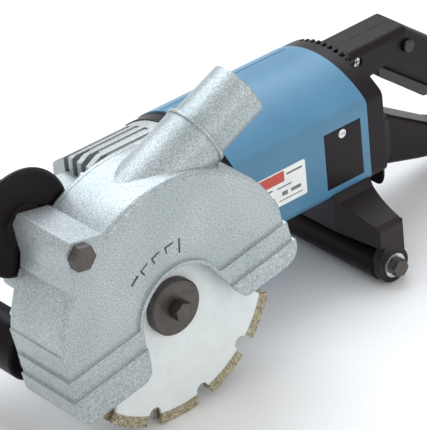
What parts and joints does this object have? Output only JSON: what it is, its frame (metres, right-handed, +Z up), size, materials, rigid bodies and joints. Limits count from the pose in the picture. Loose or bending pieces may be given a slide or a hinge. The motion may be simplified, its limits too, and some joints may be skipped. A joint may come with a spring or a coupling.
{
  "type": "wall chaser",
  "caption": "Hand-held wall chaser: twin diamond discs in a swinging cast guard with dust outlet, bevel gear drive, blue motor body, side grip, rollers and D-handle with paddle trigger.",
  "frame": {"origin": "centre of the bounding box, on the surface that the discs and the rear roller stand on", "axes": "+X along the motor towards the D-handle, -Y towards the discs, +Z up"},
  "size_m": [0.513, 0.2064, 0.2328],
  "materials": {
    "hammertone": "silver hammertone paint on cast alloy",
    "cast_alloy": "bare die cast, fine grained",
    "blue_shell": "semi-gloss moulded shell",
    "black_moulding": "fine spark-eroded texture",
    "trigger_plastic": "smooth",
    "black_casting": "black paint on cast alloy",
    "roller_rubber": "smooth, slightly glossy",
    "dark_steel": "blackened steel",
    "bright_steel": "ground or zinc plated",
    "gear_steel": "hardened and oiled",
    "blade_steel": "satin white coated steel disc",
    "segment_matrix": "sintered metal with diamond grit",
    "laminations": "stacked sheet",
    "copper": "enamelled winding wire",
    "bronze": "sintered bronze",
    "fan_plastic": "moulded",
    "carbon": "pressed graphite",
    "plate_print": null,
    "inlet_rubber": "moulded"
  },
  "bodies": {
    "motor_unit": {"gear_housing": "cast_alloy", "bearing_box": "cast_alloy", "bearing_box_screws": "bright_steel", "spindle_bearing": "bright_steel", "spindle_bush": "bronze", "armature_bearings": "bright_steel", "fan_baffle": "black_moulding", "motor_housing": "blue_shell", "stator_core": "laminations", "field_windings": "copper", "brush_holders": "bronze", "carbon_brushes": "carbon", "brush_cover_near": "black_moulding", "brush_cover_far": "black_moulding", "brush_cover_screws": "bright_steel", "rating_plate": "plate_print", "rear_cap": "black_moulding", "handle_near": "black_moulding", "handle_far": "black_moulding", "handle_screws": "bright_steel", "trigger_pin": "bright_steel", "switch_unit": "fan_plastic", "cord_inlet": "inlet_rubber", "roller_bracket": "black_casting", "bracket_screws": "bright_steel", "rear_roller_axle": "bright_steel", "axle_washers": "bright_steel", "axle_bolts": "dark_steel"},
    "blade_spindle": {"spindle": "bright_steel", "bevel_wheel": "gear_steel", "inner_flange": "dark_steel", "inner_blade_core": "blade_steel", "inner_blade_segments": "segment_matrix", "spacer_ring": "bright_steel", "outer_blade_core": "blade_steel", "outer_blade_segments": "segment_matrix", "outer_flange": "dark_steel", "flange_bolt": "dark_steel"},
    "armature": {"armature_shaft": "bright_steel", "pinion": "gear_steel", "armature_core": "laminations", "coil_ends": "copper", "commutator": "copper", "cooling_fan": "fan_plastic"},
    "blade_case": {"case_shell": "hammertone", "case_back_plate": "hammertone", "case_screws": "bright_steel", "clamp_bolt": "dark_steel", "dust_nozzle": "hammertone", "grip_bolt": "dark_steel", "side_grip": "black_moulding", "front_roller_axle": "dark_steel"},
    "front_roller": {"front_roller": "roller_rubber"},
    "rear_roller": {"rear_roller": "roller_rubber"},
    "trigger": {"trigger": "trigger_plastic"},
    "lock_button": {"lock_button": "trigger_plastic"}
  },
  "joints": [
    {"name": "case_swing", "type": "hinge", "parent": "motor_unit", "child": "blade_case", "pos_m": [-0.1395, -0.03975, 0.09], "axis": [0, 1, 0], "range_deg": [-30, 24]},
    {"name": "spindle_spin", "type": "hinge", "parent": "motor_unit", "child": "blade_spindle", "pos_m": [-0.1395, -0.08475, 0.09], "axis": [0, 1, 0], "continuous": true},
    {"name": "armature_spin", "type": "hinge", "parent": "motor_unit", "child": "armature", "pos_m": [0.0105, 0.02725, 0.09], "axis": [1, 0, 0], "continuous": true},
    {"name": "front_roller_spin", "type": "hinge", "parent": "blade_case", "child": "front_roller", "pos_m": [-0.21929, 0.02725, 0.06504], "axis": [0, 1, 0], "continuous": true},
    {"name": "rear_roller_spin", "type": "hinge", "parent": "motor_unit", "child": "rear_roller", "pos_m": [0.0745, 0.02725, 0.0146], "axis": [0, 1, 0], "continuous": true},
    {"name": "trigger_pull", "type": "hinge", "parent": "motor_unit", "child": "trigger", "pos_m": [0.14753, 0.02725, 0.12347], "axis": [0, -1, 0], "range_deg": [0, 7], "stiffness_Nm_per_rad": 1, "springref_deg": -6.88},
    {"name": "lock_press", "type": "slide", "parent": "motor_unit", "child": "lock_button", "axis": [0, 1, 0], "range_m": [0, 0.003], "stiffness_N_per_m": 400, "springref_m": -0.003}
  ],
  "couplings": [
    {"joint": "armature_spin", "follows": "spindle_spin", "ratio": 3.7}
  ]
}
